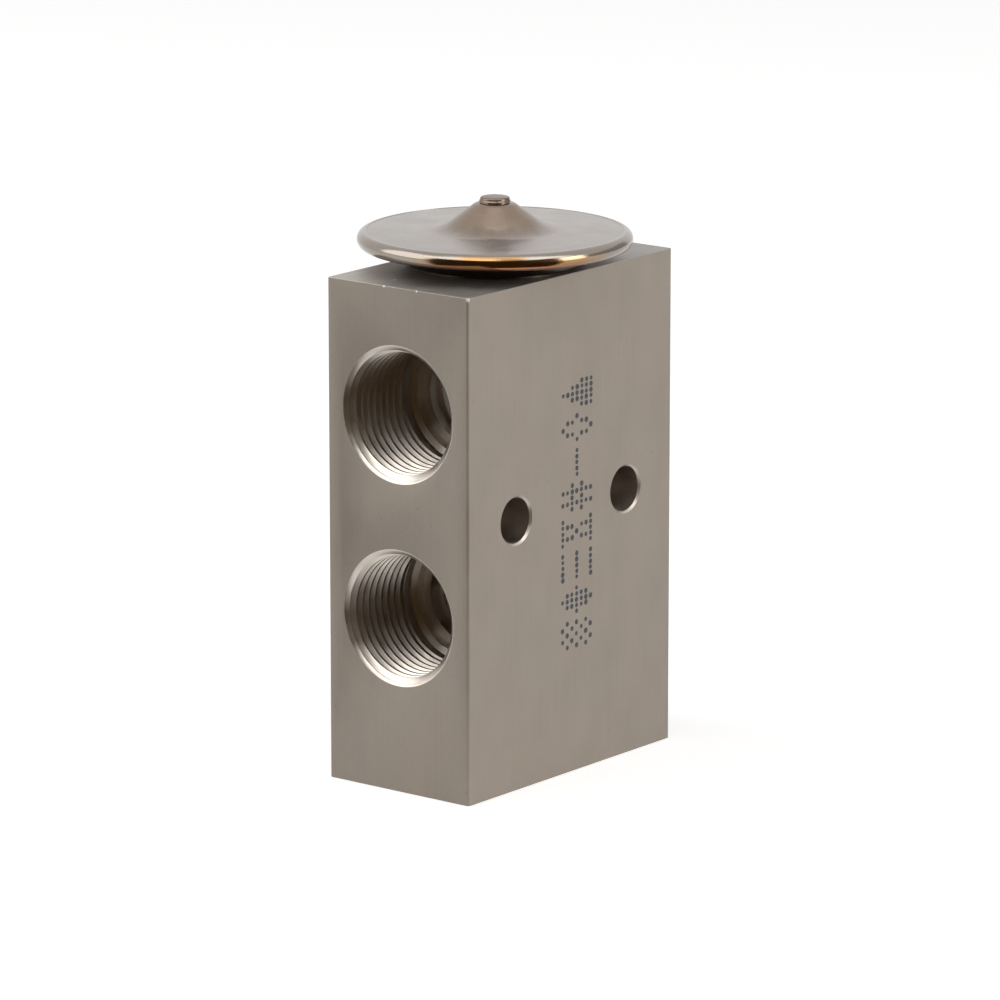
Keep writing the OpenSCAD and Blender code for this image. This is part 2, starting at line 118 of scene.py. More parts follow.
def port_place(name):
    """Where the mouth of a port lies, with Z running into the block."""
    mount = MOUNTS[name]
    inward = -Vector(mount["axis"])
    mouth = BLOCK_LOW.y if inward.y > 0 else BLOCK_HIGH.y
    return facing((mount["pos_m"][0], mouth, mount["pos_m"][2]), inward)


# Sizes and colours that a user would change

def length(name, description, default_mm):
    return FloatProperty(name=name, description=description, default=default_mm * MM,
                         min=0.0, max=2.0, soft_max=0.2, precision=5, unit="LENGTH", subtype="DISTANCE")


def share(name, description, default):
    return FloatProperty(name=name, description=description, default=default, min=0.0, max=1.0,
                         subtype="FACTOR")


def angle(name, description, default_degrees):
    return FloatProperty(name=name, description=description, default=math.radians(default_degrees),
                         min=-math.tau, max=math.tau, subtype="ANGLE", unit="ROTATION")


def colour(name, description, default):
    return FloatVectorProperty(name=name, description=description, default=default, size=3,
                               min=0.0, max=1.0, subtype="COLOR")


class ValveBlockSizes(PropertyGroup):
    """Sizes of the extruded block and its plain bores"""
    edge_radius: length("Edge radius", "Rounding of the upright edges", 0.4)
    sawn_bevel: length("Sawn bevel", "Broken edge round the sawn ends", 0.05)
    passage_radius: length("Passage radius", "Passage that leads on from a large port", 6.5)
    outlet_past: length("Outlet past axis", "How far the outlet passage runs past the valve axis", 3.5)
    inlet_passage_radius: length("Inlet passage radius", "Passage to the valve chamber", 3.0)
    bolt_sink: length("Bolt countersink", "Depth of the countersink of a cross hole", 0.3)
    neck_radius: length("Neck bore radius", "Threaded hole for the head's neck", 9.0)
    neck_depth: length("Neck bore depth", "Depth of that hole", 7.5)
    packing_radius: length("Packing recess radius", "Recess for the head's packing", 10.15)
    packing_depth: length("Packing recess depth", "Depth of that recess", 1.3)
    vent_radius: length("Vent radius", "Vapour hole from the suction passage to the head", 5.0)
    seal_depth: length("Seal recess depth", "Depth of the shaft seal's recess under the passage", 3.3)
    shaft_bore_radius: length("Shaft bore radius", "Guide bore of the sensing shaft", 3.06)
    guide_length: length("Rod guide length", "Wall between the outlet passage and the shaft's bore", 6.6)
    rod_bore_radius: length("Rod bore radius", "Guide bore of the working rod", 1.18)
    orifice_radius: length("Orifice radius", "Metering orifice", 1.8)
    orifice_length: length("Orifice length", "Length of the orifice above its seat", 2.0)
    seat_height: length("Seat height", "Height of the conical seat", 0.9)
    chamber_radius: length("Chamber radius", "Chamber of the ball and spring", 5.2)
    screw_radius: length("Screw hole radius", "Threaded hole for the adjusting screw", 6.0)
    screw_depth: length("Screw hole depth", "Depth of that hole", 4.2)
    segments: IntProperty(name="Segments", description="Facets round a bore", default=192, min=24, max=512)


class ValvePortSizes(PropertyGroup):
    """Sizes of the stepped and threaded ports"""
    face_break: length("Face break", "Broken edge where a port meets the face", 0.06)
    mouth_step: length("Mouth step", "How far the mouth lies outside the crests at the face", 1.12)
    mouth_depth: length("Mouth depth", "Depth of the countersunk mouth", 1.1)
    thread_end: length("Thread end", "Depth at which the thread ends", 12.1)
    relief_step: length("Relief step", "How far the relief lies outside the crests", 0.44)
    relief_length: length("Relief length", "Width of the relief groove", 1.6)
    seat_step: length("Seat step", "How far the tube seat lies inside the crests", 0.41)
    seat_cone: length("Seat cone", "Depth of the cone that leads into the tube seat", 0.45)
    lead_radius: length("Lead radius", "Counterbore in the floor of a large port", 7.0)
    lead_length: length("Lead length", "Depth of that counterbore", 2.2)
    floor_depth: length("Floor depth", "Depth of a large port", 16.0)
    inlet_floor_depth: length("Inlet floor depth", "Depth of the inlet port", 14.5)
    pitch: length("Pitch", "Pitch of the port threads, 18 turns to the inch", 25.4 / 18)
    groove_depth: length("Groove depth", "Depth of the thread below its crests", 0.765)
    overlap: length("Overlap", "How far the thread's cutter reaches inside the crests", 0.09)
    steps: IntProperty(name="Steps", description="Steps in a turn of thread", default=128, min=12, max=256)


class ValveHeadSizes(PropertyGroup):
    """Sizes of the welded head"""
    sheet: length("Sheet", "Thickness of both covers", 1.0)
    clamp_width: length("Clamp width", "Flange that clamps the diaphragm", 2.4)
    land_width: length("Land width", "Distance of the ring line from the cover's edge", 1.9)
    land_rise: length("Land rise", "Rise of the cover to the ring line", 0.26)
    web_rise: length("Web rise", "Rise of the cover to the foot of the cone", 0.45)
    land_round: length("Land rounding", "Rounding of the ring line", 4.0)
    edge_rise: length("Edge rise", "Rise of the cover's edge to the weld bead", 0.17)
    cone_radius: length("Cone radius", "Radius at the foot of the cone", 7.83)
    cone_rise: length("Cone rise", "Height of the shoulder over the cover's edge", 4.2)
    flare_radius: length("Flare radius", "Rounding at the foot of the cone", 6.0)
    shoulder_radius: length("Shoulder radius", "Radius of the cone's shoulder", 2.69)
    shoulder_round: length("Shoulder rounding", "Rounding of that shoulder", 1.6)
    nose_radius: length("Nose radius", "Radius of the neck on the cone", 2.08)
    bead_over: length("Bead over", "How far the weld bead stands over the CAD bead's section", 0.08)
    bead_lift: length("Bead lift", "How far the bead's section lies above the joint", 0.1)
    charge_radius: length("Charge hole radius", "Hole under the charge plug", 1.15)
    dish_radius: length("Dish radius", "Inside of the lower cover's dish", 12.3)
    dish_floor: length("Dish floor", "Height of the dish's floor above the block", 1.425)
    neck_radius: length("Neck radius", "Outside of the threaded neck", 8.95)
    neck_hole_radius: length("Neck hole radius", "Hole through the neck", 6.9)
    hub_radius: length("Hub radius", "Collar that seats on the block", 11.4)
    cap_radius: length("Cap radius", "Radius of the charge plug's cap", 2.25)
    cap_height: length("Cap height", "Height of that cap", 0.7)
    cap_draw: length("Cap draw", "How far the cap is drawn in above its foot", 0.13)
    segments: IntProperty(name="Segments", description="Facets round the head", default=256, min=24, max=512)


class ValvePrintSizes(PropertyGroup):
    """Sizes of the printed row of dot figures on the right bolt face"""
    top: length("Top", "Height of the first figure's top", 57.2)
    left: length("Left", "Distance of the first dot line in front of the block's middle", 2.0)
    line_pitch: length("Line pitch", "Distance between dot lines", 1.08)
    dot_pitch: length("Dot pitch", "Distance between dots in a line", 0.86)
    figure_pitch: length("Figure pitch", "Distance between figures", 5.03)
    dot_radius: length("Dot radius", "Radius of a dot", 0.37)
    ink: length("Ink", "Thickness of a dot over the face", 0.012)
    jitter: length("Jitter", "Most that a dot lies off its place", 0.045)


class ValveSpringSizes(PropertyGroup):
    """Sizes of the superheat spring"""
    wire: length("Wire", "Diameter of the wire", 0.7)
    turns: FloatProperty(name="Turns", description="Turns with one closed turn at each end", default=5.0,
                         min=3.0, max=8.0)


class ValveColours(PropertyGroup):
    """Colours of the finishes"""
    extruded: colour("Extruded", "Coated sides of the block", (0.285, 0.252, 0.215))
    sawn: colour("Sawn", "Sawn ends of the block", (0.36, 0.33, 0.30))
    machined: colour("Machined", "Cut metal in the bores", (0.50, 0.44, 0.39))
    port: colour("Port", "Cut metal in the ports", (0.55, 0.50, 0.445))
    cover: colour("Cover", "Pressed upper cover of the head", (0.32, 0.285, 0.26))
    # Partly the cone's own brown, partly a painted reflection of the dark surroundings
    cover_cone_tint_and_shade: colour("Cover at the cone", "Browner sheet of the cone", (0.25, 0.19, 0.145))
    cap: colour("Cap", "Cap of the charge plug", (0.165, 0.122, 0.09))
    # Painted shade: the lower cover is darkened so that the gap under the head reads as deep shade
    under: colour("Under", "Lower cover of the head", (0.12, 0.09, 0.065))
    weld: colour("Weld", "Weld bead away from the tint", (0.29, 0.255, 0.22))
    tint_gold: colour("Gold tint", "Heat tint of the weld bead", (0.375, 0.215, 0.09))
    tint_pink: colour("Pink tint", "Lower heat tint of the weld bead", (0.30, 0.13, 0.08))
    steel: colour("Steel", "Inner steel pieces", (0.56, 0.56, 0.57))
    shaft: colour("Shaft", "Turned aluminium shaft", (0.58, 0.56, 0.54))
    brass: colour("Brass", "Turned brass pieces", (0.62, 0.44, 0.16))
    rubber: colour("Rubber", "Seal rings", (0.012, 0.013, 0.014))
    ink: colour("Ink", "Printed dots", (0.018, 0.022, 0.030))


class ValveStageSizes(PropertyGroup):
    """Camera, lamps and floor"""
    azimuth: angle("Azimuth", "Angle of the camera to the right of the front", 38.26)
    elevation: angle("Elevation", "Angle of the camera above the horizon", 13.27)
    distance: length("Distance", "Distance of the camera from its target", 933.1)
    target_height: length("Target height", "Height of the camera's target", 37.0)
    lens: FloatProperty(name="Lens", description="Focal length in millimetres", default=233.86,
                        min=20.0, max=400.0, unit="CAMERA")
    shift_x: FloatProperty(name="Shift X", description="Sideways shift of the frame", default=-0.00147)
    shift_y: FloatProperty(name="Shift Y", description="Upward shift of the frame", default=0.00838)
    floor_radius: FloatProperty(name="Floor radius", description="Radius of the floor", default=6.0,
                                min=1.0, max=20.0, unit="LENGTH", subtype="DISTANCE")
    backdrop: share("Backdrop", "White that the floor shows besides its own light", 0.55)
    world_fill: share("World fill", "Strength of the soft light from all round", 0.25)
    dark_colour: colour("Dark side", "Colour of the dark side of the studio", (0.055, 0.033, 0.013))
    dark_near: length("Dark near", "Distance of the dark side's near edge on the floor", 58.0)
    dark_height: length("Dark height", "Height of the dark side", 600.0)
    dark_start: angle("Dark start", "Left end of the dark side", -18.0)
    dark_end: angle("Dark end", "Right end of the dark side", 95.0)


# Meshes

def add_object(name, mesh, *materials):
    """New object in the scene, with its finishes."""
    for material in materials:
        mesh.materials.append(material)
    piece = bpy.data.objects.new(name, mesh)
    bpy.context.scene.collection.objects.link(piece)
    return piece


def skin(name, rings, wrap=False, cap=True):
    """Closed solid through rings of points. wrap joins the last ring to the first, cap closes both ends."""
    shape = bmesh.new()
    made = [[shape.verts.new(point) for point in ring] for ring in rings]
    if wrap:
        made.append(made[0])
    for lower, upper in zip(made, made[1:]):
        for here in range(len(lower)):
            after = (here + 1) % len(lower)
            shape.faces.new((lower[here], lower[after], upper[after], upper[here]))
    if cap and not wrap:
        shape.faces.new(reversed(made[0]))
        shape.faces.new(made[-1])
    bmesh.ops.remove_doubles(shape, verts=shape.verts, dist=1e-8)
    bmesh.ops.recalc_face_normals(shape, faces=shape.faces)
    mesh = bpy.data.meshes.new(name)
    shape.to_mesh(mesh)
    shape.free()
    return mesh


def revolve(name, profile, segments, place=Matrix.Identity(4)):
    """Solid of revolution round Z of a closed profile of (radius, height) points, moved to its place."""
    turns = [(math.cos(a), math.sin(a)) for a in (math.tau * k / segments for k in range(segments))]
    rings = [[(radius * x, radius * y, height) for x, y in turns] for radius, height in profile]
    hollow = min(radius for radius, _ in profile) > 1e-7
    mesh = skin(name, rings, wrap=hollow, cap=False)
    mesh.transform(place)
    return mesh


def rounded(corners, steps=8):
    """Closed profile through corners (x, y, radius), with an arc of that radius at each corner."""
    points = []
    for index, (x, y, radius) in enumerate(corners):
        corner = Vector((x, y))
        if radius == 0:
            points.append(corner)
            continue
        before = (Vector(corners[index - 1][:2]) - corner).normalized()
        after = (Vector(corners[(index + 1) % len(corners)][:2]) - corner).normalized()
        half = before.angle(after) / 2
        centre = corner + (before + after).normalized() * radius / math.sin(half)
        start = corner + before * radius / math.tan(half) - centre
        turn = math.copysign(math.pi - 2 * half, -before.cross(after))
        points += [centre + Matrix.Rotation(turn * step / steps, 2) @ start for step in range(steps + 1)]
    return points


def mitre(before, corner, after, gap):
    """Corner of a path, moved to the left by a gap with a mitred joint."""
    ahead, on = (Vector(corner) - Vector(before)).normalized(), (Vector(after) - Vector(corner)).normalized()
    first, second = Vector((-ahead.y, ahead.x)), Vector((-on.y, on.x))
    return Vector(corner) + gap * (first + second) / (1 + first.dot(second))


def smooth(piece, limit_degrees=28):
    """Smooth shading, with edges over the limit kept sharp."""
    piece.data.shade_smooth()
    piece.data.set_sharp_from_angle(angle=math.radians(limit_degrees))


def bake(piece):
    """Turns a piece's modifiers into plain mesh."""
    evaluated = piece.evaluated_get(bpy.context.evaluated_depsgraph_get())
    mesh = bpy.data.meshes.new_from_object(evaluated)
    piece.modifiers.clear()
    piece.data = mesh
    mesh.name = piece.name
    return piece


def carve(piece, cutters):
    """Cuts each cutter out of a piece. A cut face takes its cutter's finish."""
    for cutter in cutters:
        cut = piece.modifiers.new("Cut", "BOOLEAN")
        cut.solver = "MANIFOLD"
        cut.operation = "DIFFERENCE"
        cut.material_mode = "TRANSFER"
        cut.object = cutter
    bake(piece)
    for cutter in cutters:
        bpy.data.objects.remove(cutter)
    return piece


# Node trees

class Nodes:
    """Adds nodes to a tree and joins them, so that a finish or a shape reads as a list of steps."""

    def __init__(self, tree):
        self.tree = tree

    def add(self, kind, inputs=None, **settings):
        """Adds a node. Each input is a value or the output socket of another node."""
        node = self.tree.nodes.new(kind)
        for name, value in settings.items():
            setattr(node, name, value)
        for key, value in (inputs or {}).items():
            self.feed(node, key, value)
        return node

    def feed(self, node, key, value):
        if isinstance(value, bpy.types.NodeSocket):
            self.tree.links.new(value, node.inputs[key])
        else:
            node.inputs[key].default_value = value

    def out(self, kind, inputs=None, **settings):
        """Adds a node and gives its first output."""
        return self.add(kind, inputs, **settings).outputs[0]

    def math(self, operation, *values, clamp=False):
        return self.out("ShaderNodeMath", dict(enumerate(values)), operation=operation, use_clamp=clamp)

    def plus(self, first, second):
        return self.math("ADD", first, second)

    def minus(self, first, second):
        return self.math("SUBTRACT", first, second)

    def product(self, *values):
        """All the values multiplied together."""
        result = values[0]
        for value in values[1:]:
            result = self.math("MULTIPLY", result, value)
        return result

    def vector(self, operation, *values):
        return self.out("ShaderNodeVectorMath", dict(enumerate(values)), operation=operation)

    def xyz(self, x=0.0, y=0.0, z=0.0):
        return self.out("ShaderNodeCombineXYZ", {0: x, 1: y, 2: z})


class Finish(Nodes):
    """Nodes of one material, in object coordinates."""

    def __init__(self, name, base, metallic, roughness):
        self.material = bpy.data.materials.new(name)
        self.material.use_nodes = True
        super().__init__(self.material.node_tree)
        self.shader = self.tree.nodes["Principled BSDF"]
        self.base = (*base, 1.0)
        self.shader.inputs["Base Color"].default_value = self.base
        self.shader.inputs["Metallic"].default_value = metallic
        self.shader.inputs["Roughness"].default_value = roughness
        self.material.diffuse_color = self.base
        self.place = self.add("ShaderNodeTexCoord").outputs["Object"]

    def noise(self, frequency, detail=2.0, roughness=0.5, at=None):
        """Noise between 0 and 1. Its frequency is one number, or one along each axis."""
        stretch = (frequency,) * 3 if isinstance(frequency, int) else frequency
        coordinates = self.vector("MULTIPLY", self.place if at is None else at, stretch)
        values = {"Vector": coordinates, "Scale": 1.0, "Detail": detail, "Roughness": roughness}
        return self.out("ShaderNodeTexNoise", values)

    def between(self, value, low, high, to_low=0.0, to_high=1.0, smooth_step=False):
        """Maps a value from one range to another and holds it there."""
        kind = "SMOOTHSTEP" if smooth_step else "LINEAR"
        values = {0: value, 1: low, 2: high, 3: to_low, 4: to_high}
        return self.out("ShaderNodeMapRange", values, interpolation_type=kind)

    def spread(self, noise, low, high):
        """Spreads the middle of a noise from one value to another."""
        return self.between(noise, 0.3, 0.7, low, high)

    def mix(self, factor, first, second, blend="MIX"):
        node = self.add("ShaderNodeMix", {0: factor}, data_type="RGBA", blend_type=blend)
        for key, value in ((6, first), (7, second)):
            self.feed(node, key, value if isinstance(value, bpy.types.NodeSocket) else (*value[:3], 1.0))
        return node.outputs[2]

    def shaded(self, colour_value, amount):
        """A colour times a grey amount."""
        grey = self.xyz(amount, amount, amount)
        return self.mix(1.0, colour_value, grey, "MULTIPLY")

    def set(self, **sockets):
        for name, value in sockets.items():
            self.feed(self.shader, name.replace("_", " ").title(), value)
        return self

    def bump(self, height, depth, strength=1.0):
        """Raises the surface by a height between 0 and 1, times a depth in metres."""
        values = {"Strength": strength, "Distance": depth, "Height": height}
        self.feed(self.shader, "Normal", self.out("ShaderNodeBump", values))
        return self

    def axis_radius(self):
        """Distance from the valve axis."""
        flat = self.vector("MULTIPLY", self.vector("SUBTRACT", self.place, (0, AXIS_Y, 0)), (1, 1, 0))
        return self.add("ShaderNodeVectorMath", {0: flat}, operation="LENGTH").outputs["Value"]

    def toward(self, direction, azimuth):
        """Cosine of the angle from a level direction to an azimuth to the right of the front, in degrees."""
        values = {0: direction, 1: direction_of(azimuth, 0)}
        return self.add("ShaderNodeVectorMath", values, operation="DOT_PRODUCT").outputs["Value"]

    def nicked_with_glints(self, colour_value):
        """A colour with the small nicks of the block's top edges: bare metal, painted bright with the glint
        of their burrs.
        """
        for x, y, depth, radius in NICKS:
            values = {0: self.place, 1: (x * MM, y * MM, BLOCK_TOP - depth * MM)}
            away = self.add("ShaderNodeVectorMath", values, operation="DISTANCE").outputs["Value"]
            hit = self.between(away, radius * MM, radius * MM / 2)
            colour_value = self.mix(hit, colour_value, NICK_GLINT_COLOUR)
        return colour_value

    def part(self, axis):
        """One of the object coordinates, 0 to 2."""
        return self.add("ShaderNodeSeparateXYZ", {0: self.place}).outputs[axis]


def geometry_tree(name, inputs):
    """Geometry tree with named inputs and their defaults. Gives its nodes, its sockets and its output."""
    tree = bpy.data.node_groups.new(name, "GeometryNodeTree")
    tree.interface.new_socket("Geometry", in_out="INPUT", socket_type="NodeSocketGeometry")
    for label, default in inputs.items():
        kind = "NodeSocketInt" if isinstance(default, int) else "NodeSocketFloat"
        tree.interface.new_socket(label, in_out="INPUT", socket_type=kind).default_value = default
    tree.interface.new_socket("Finish", in_out="INPUT", socket_type="NodeSocketMaterial")
    tree.interface.new_socket("Geometry", in_out="OUTPUT", socket_type="NodeSocketGeometry")
    nodes = Nodes(tree)
    return nodes, nodes.add("NodeGroupInput").outputs, nodes.add("NodeGroupOutput")


def close_tree(nodes, sockets, output, geometry):
    """Ends a geometry tree with plain, finished mesh."""
    plain = nodes.out("GeometryNodeRealizeInstances", {0: geometry})
    finished = nodes.out("GeometryNodeSetMaterial", {"Geometry": plain, "Material": sockets["Finish"]})
    nodes.feed(output, 0, finished)


def attach(piece, tree, finish, values):
    """Puts a geometry tree on a piece, with these values."""
    modifier = piece.modifiers.new(tree.name, "NODES")
    modifier.node_group = tree
    for item in tree.interface.items_tree:
        if item.in_out == "INPUT" and item.name in values:
            modifier[item.identifier] = values[item.name]
        if item.in_out == "INPUT" and item.name == "Finish":
            modifier[item.identifier] = finish


def grow(name, tree, finish, values, mesh=None):
    """Plain mesh object that a geometry tree makes with these values."""
    piece = add_object(name, mesh or bpy.data.meshes.new(name))
    attach(piece, tree, finish, values)
    return bake(piece)


def add_helix(nodes, sockets, radius, height):
    """Right-hand helix round Z."""
    return nodes.out("GeometryNodeCurveSpiral", {
        "Resolution": sockets["Steps"], "Rotations": sockets["Turns"], "Start Radius": radius,
        "End Radius": radius, "Height": height, "Reverse": True})


def add_sweep(nodes, path, section, **more):
    """Closed tube of a section along a path, with the section's Y kept upright."""
    upright = nodes.out("GeometryNodeSetCurveNormal", {0: path}, mode="Z_UP")
    return nodes.out("GeometryNodeCurveToMesh", {
        "Curve": upright, "Profile Curve": section, "Fill Caps": True, **more})


def thread_tree():
    """Sweeps a trapezoid along a right-hand helix round Z, from the crests outwards."""
    nodes, sockets, output = geometry_tree("Thread cutter", {
        "Crest Radius": 0.01, "Groove Depth": 0.001, "Overlap": 0.0001, "Pitch": 0.0014, "Turns": 8.0,
        "Run Out": 0.75, "Steps": 64})
    height = nodes.product(sockets["Pitch"], sockets["Turns"])
    inner = nodes.minus(sockets["Crest Radius"], sockets["Overlap"])
    reach = nodes.plus(sockets["Groove Depth"], sockets["Overlap"])
    root = nodes.product(sockets["Pitch"], 1 / 16)
    mouth = nodes.plus(root, nodes.product(reach, math.tan(math.radians(30))))
    corners = [(0.0, nodes.product(mouth, -1.0)), (reach, nodes.product(root, -1.0)), (reach, root),
               (0.0, mouth)]
    points = {f"Point {k + 1}": nodes.xyz(*corner) for k, corner in enumerate(corners)}
    section = nodes.out("GeometryNodeCurvePrimitiveQuadrilateral", points, mode="POINTS")
    travelled = nodes.add("GeometryNodeSplineParameter").outputs["Factor"]
    left = nodes.product(nodes.minus(1.0, travelled), sockets["Turns"])
    fade = nodes.math("DIVIDE", left, sockets["Run Out"], clamp=True)
    path = add_helix(nodes, sockets, inner, height)
    swept = add_sweep(nodes, path, section, Scale=nodes.math("MAXIMUM", fade, 0.08))
    close_tree(nodes, sockets, output, swept)
    return nodes.tree


def spring_tree():
    """Winds wire into a compression spring with closed ends, and keeps one stretch of the wire."""
    nodes, sockets, output = geometry_tree("Closed-end spring", {
        "Radius": 0.0026, "Wire": 0.0007, "Height": 0.006, "Turns": 5.0, "First": 0.0, "Last": 1.0,
        "Steps": 64, "Sides": 20})
    wire = sockets["Wire"]
    travelled = nodes.add("GeometryNodeSplineParameter").outputs["Factor"]
    turn = nodes.product(travelled, sockets["Turns"])
    active_turns = nodes.minus(sockets["Turns"], 2.0)
    active_height = nodes.minus(sockets["Height"], nodes.product(wire, 2.0))
    first = nodes.math("MINIMUM", turn, 1.0)
    opened = nodes.math("MINIMUM", nodes.math("MAXIMUM", nodes.minus(turn, 1.0), 0.0), active_turns)
    last = nodes.math("MAXIMUM", nodes.minus(nodes.minus(turn, active_turns), 1.0), 0.0)
    opened_rise = nodes.product(opened, nodes.math("DIVIDE", active_height, active_turns))
    rise = nodes.plus(nodes.plus(nodes.product(first, wire), opened_rise), nodes.product(last, wire))
    coil = add_helix(nodes, sockets, sockets["Radius"], 0.0)
    wound = nodes.out("GeometryNodeSetPosition", {"Geometry": coil, "Offset": nodes.xyz(z=rise)})
    ends = {0: wound, 2: sockets["First"], 3: sockets["Last"]}
    kept = nodes.out("GeometryNodeTrimCurve", ends, mode="FACTOR")
    round_wire = {"Resolution": sockets["Sides"], "Radius": nodes.product(wire, 0.5)}
    section = nodes.out("GeometryNodeCurvePrimitiveCircle", round_wire)
    swept = add_sweep(nodes, kept, section)
    shaded = nodes.out("GeometryNodeSetShadeSmooth", {"Geometry": swept, "Shade Smooth": True})
    close_tree(nodes, sockets, output, shaded)
    return nodes.tree


def dot_tree():
    """Sets a small ink disc, facing +X, on each point of a mesh, a little off its place."""
    nodes, sockets, output = geometry_tree("Dot print", {
        "Dot Radius": 0.0003, "Ink": 0.00001, "Jitter": 0.00004, "Seed": 7, "Sides": 14})
    jitter, seed = sockets["Jitter"], sockets["Seed"]
    thick = nodes.product(sockets["Ink"], 2.0)
    disc = nodes.out("GeometryNodeMeshCylinder", {
        "Vertices": sockets["Sides"], "Radius": sockets["Dot Radius"], "Depth": thick})
    back = nodes.product(jitter, -1.0)
    reach = {0: nodes.xyz(0.0, back, back), 1: nodes.xyz(0.0, jitter, jitter), "Seed": seed}
    shift = nodes.out("FunctionNodeRandomValue", reach, data_type="FLOAT_VECTOR")
    placed = nodes.out("GeometryNodeSetPosition", {"Geometry": sockets["Geometry"], "Offset": shift})
    size = nodes.add("FunctionNodeRandomValue", {2: 0.82, 3: 1.12, "Seed": seed}, data_type="FLOAT")
    inked = nodes.out("GeometryNodeInstanceOnPoints", {
        "Points": placed, "Instance": disc, "Rotation": (0.0, math.pi / 2, 0.0), "Scale": size.outputs[1]})
    close_tree(nodes, sockets, output, inked)
    return nodes.tree


def shading_tree():
    """Joins a CAD piece's split corners and keeps only its real edges sharp."""
    nodes, sockets, output = geometry_tree("Edge shading", {"Gap": 0.000002, "Limit": 0.6})
    plain = {"Geometry": sockets["Geometry"], "Name": "custom_normal"}
    plain = nodes.out("GeometryNodeRemoveAttribute", plain)
    joined = nodes.out("GeometryNodeMergeByDistance", {"Geometry": plain, "Distance": sockets["Gap"]})
    soft = nodes.out("GeometryNodeSetShadeSmooth", {"Geometry": joined, "Shade Smooth": True})
    fold = nodes.add("GeometryNodeInputMeshEdgeAngle").outputs["Unsigned Angle"]
    over = {0: fold, 1: sockets["Limit"]}
    sharp = nodes.out("FunctionNodeCompare", over, data_type="FLOAT", operation="GREATER_THAN")
    edged = nodes.out("GeometryNodeSetShadeSmooth", {
        "Geometry": soft, "Selection": sharp, "Shade Smooth": False}, domain="EDGE")
    close_tree(nodes, sockets, output, edged)
    return nodes.tree


# Finishes

def extruded_finish(base):
    """Matte coated extrusion: faint upright die lines, soft blotches and small dark specks."""
    made = Finish("extruded_aluminium", base, 0.4, 0.58)
    lines = made.noise((2600, 2600, 60), 3.0)
    cloud = made.noise((160, 160, 110), 3.0)
    grain = made.noise(5200, 4.0, 0.7)
    specks = made.between(made.noise(1500, 1.0), 0.19, 0.25, 0.8, 1.0)
    tone = made.product(made.spread(cloud, 0.93, 1.06), made.spread(lines, 0.98, 1.02),
                        made.between(grain, 0.25, 0.75, 0.94, 1.06), specks)
    warmer = [channel * tint for channel, tint in zip(base, (1.06, 1.0, 0.95))]
    warm = made.mix(made.noise((90, 90, 70)), base, warmer)
    # The nicks on the top edges are painted bright: bare metal and a painted glint
    made.set(base_color=made.nicked_with_glints(made.shaded(warm, tone)), roughness=made.spread(cloud, 0.5, 0.62))
    return made.bump(made.plus(lines, grain), 0.0000035, 0.5).material


def sawn_finish(base):
    """Sawn end: bright fine lines across the bar, and painted light: lighter at the left and darker at the
    right, where the head shades the top and is reflected in it.
    """
    made = Finish("sawn_aluminium", base, 0.6, 0.45)
    lines = made.noise((3600, 90, 100))
    cloud = made.noise(220, 3.0)
    # Random lines and clouds, and painted shade and reflection of the head: lighter at the left, darker at
    # the right
    tone = made.product(made.spread(lines, 0.92, 1.08), made.spread(cloud, 0.95, 1.05),
                        made.between(made.part(0), -0.016, 0.004, 1.4, 0.96))
    # The nicks on the top edges are painted bright: bare metal and a painted glint
    made.set(base_color=made.nicked_with_glints(made.shaded(base, tone)), roughness=made.spread(cloud, 0.42, 0.55))
    return made.bump(lines, 0.000006, 0.6).material


def machined_finish(name, base, along, roughness=0.4):
    """Cut metal, with fine tool rings across the direction that a bore runs in."""
    made = Finish(name, base, 1.0, roughness)
    rings = made.noise([9000 if axis == along else 60 for axis in range(3)], 3.0)
    cloud = made.noise(400)
    made.set(base_color=made.shaded(base, made.spread(rings, 0.93, 1.05)),
             roughness=made.spread(cloud, roughness * 0.85, roughness * 1.25))
    return made.bump(rings, 0.0000015, 0.5).material


def cover_finish(name, base, warm, ring_radius):
    """Pressed stainless sheet: satin, cloudy, darker and browner at the cone, partly the sheet's own brown
    and partly a painted reflection of the dark surroundings, with faint rings from the press tool.
    """
    made = Finish(name, base, 1.0, 0.34)
    radius = made.axis_radius()
    rings = made.noise(5200, at=made.xyz(radius))
    cloud = made.noise(190, 4.0, 0.6)
    grain = made.noise(3800, 3.0)
    line = made.math("ABSOLUTE", made.minus(radius, ring_radius))
    tone = made.product(made.spread(cloud, 0.92, 1.06), made.spread(rings, 0.97, 1.03),
                        made.between(line, 0.0, 0.00022, 0.95, 1.0))
    from_cone = made.plus(radius, made.product(made.minus(cloud, 0.5), 0.006))
    # Darker, browner sheet towards the cone: its own brown in part, and in part a painted reflection of the
    # dark surroundings
    sheet = made.mix(made.between(from_cone, 0.005, 0.0105, smooth_step=True), warm, base)
    made.set(base_color=made.shaded(sheet, tone), roughness=made.spread(cloud, 0.20, 0.32))
    return made.bump(made.plus(rings, grain), 0.0000022, 0.6).material


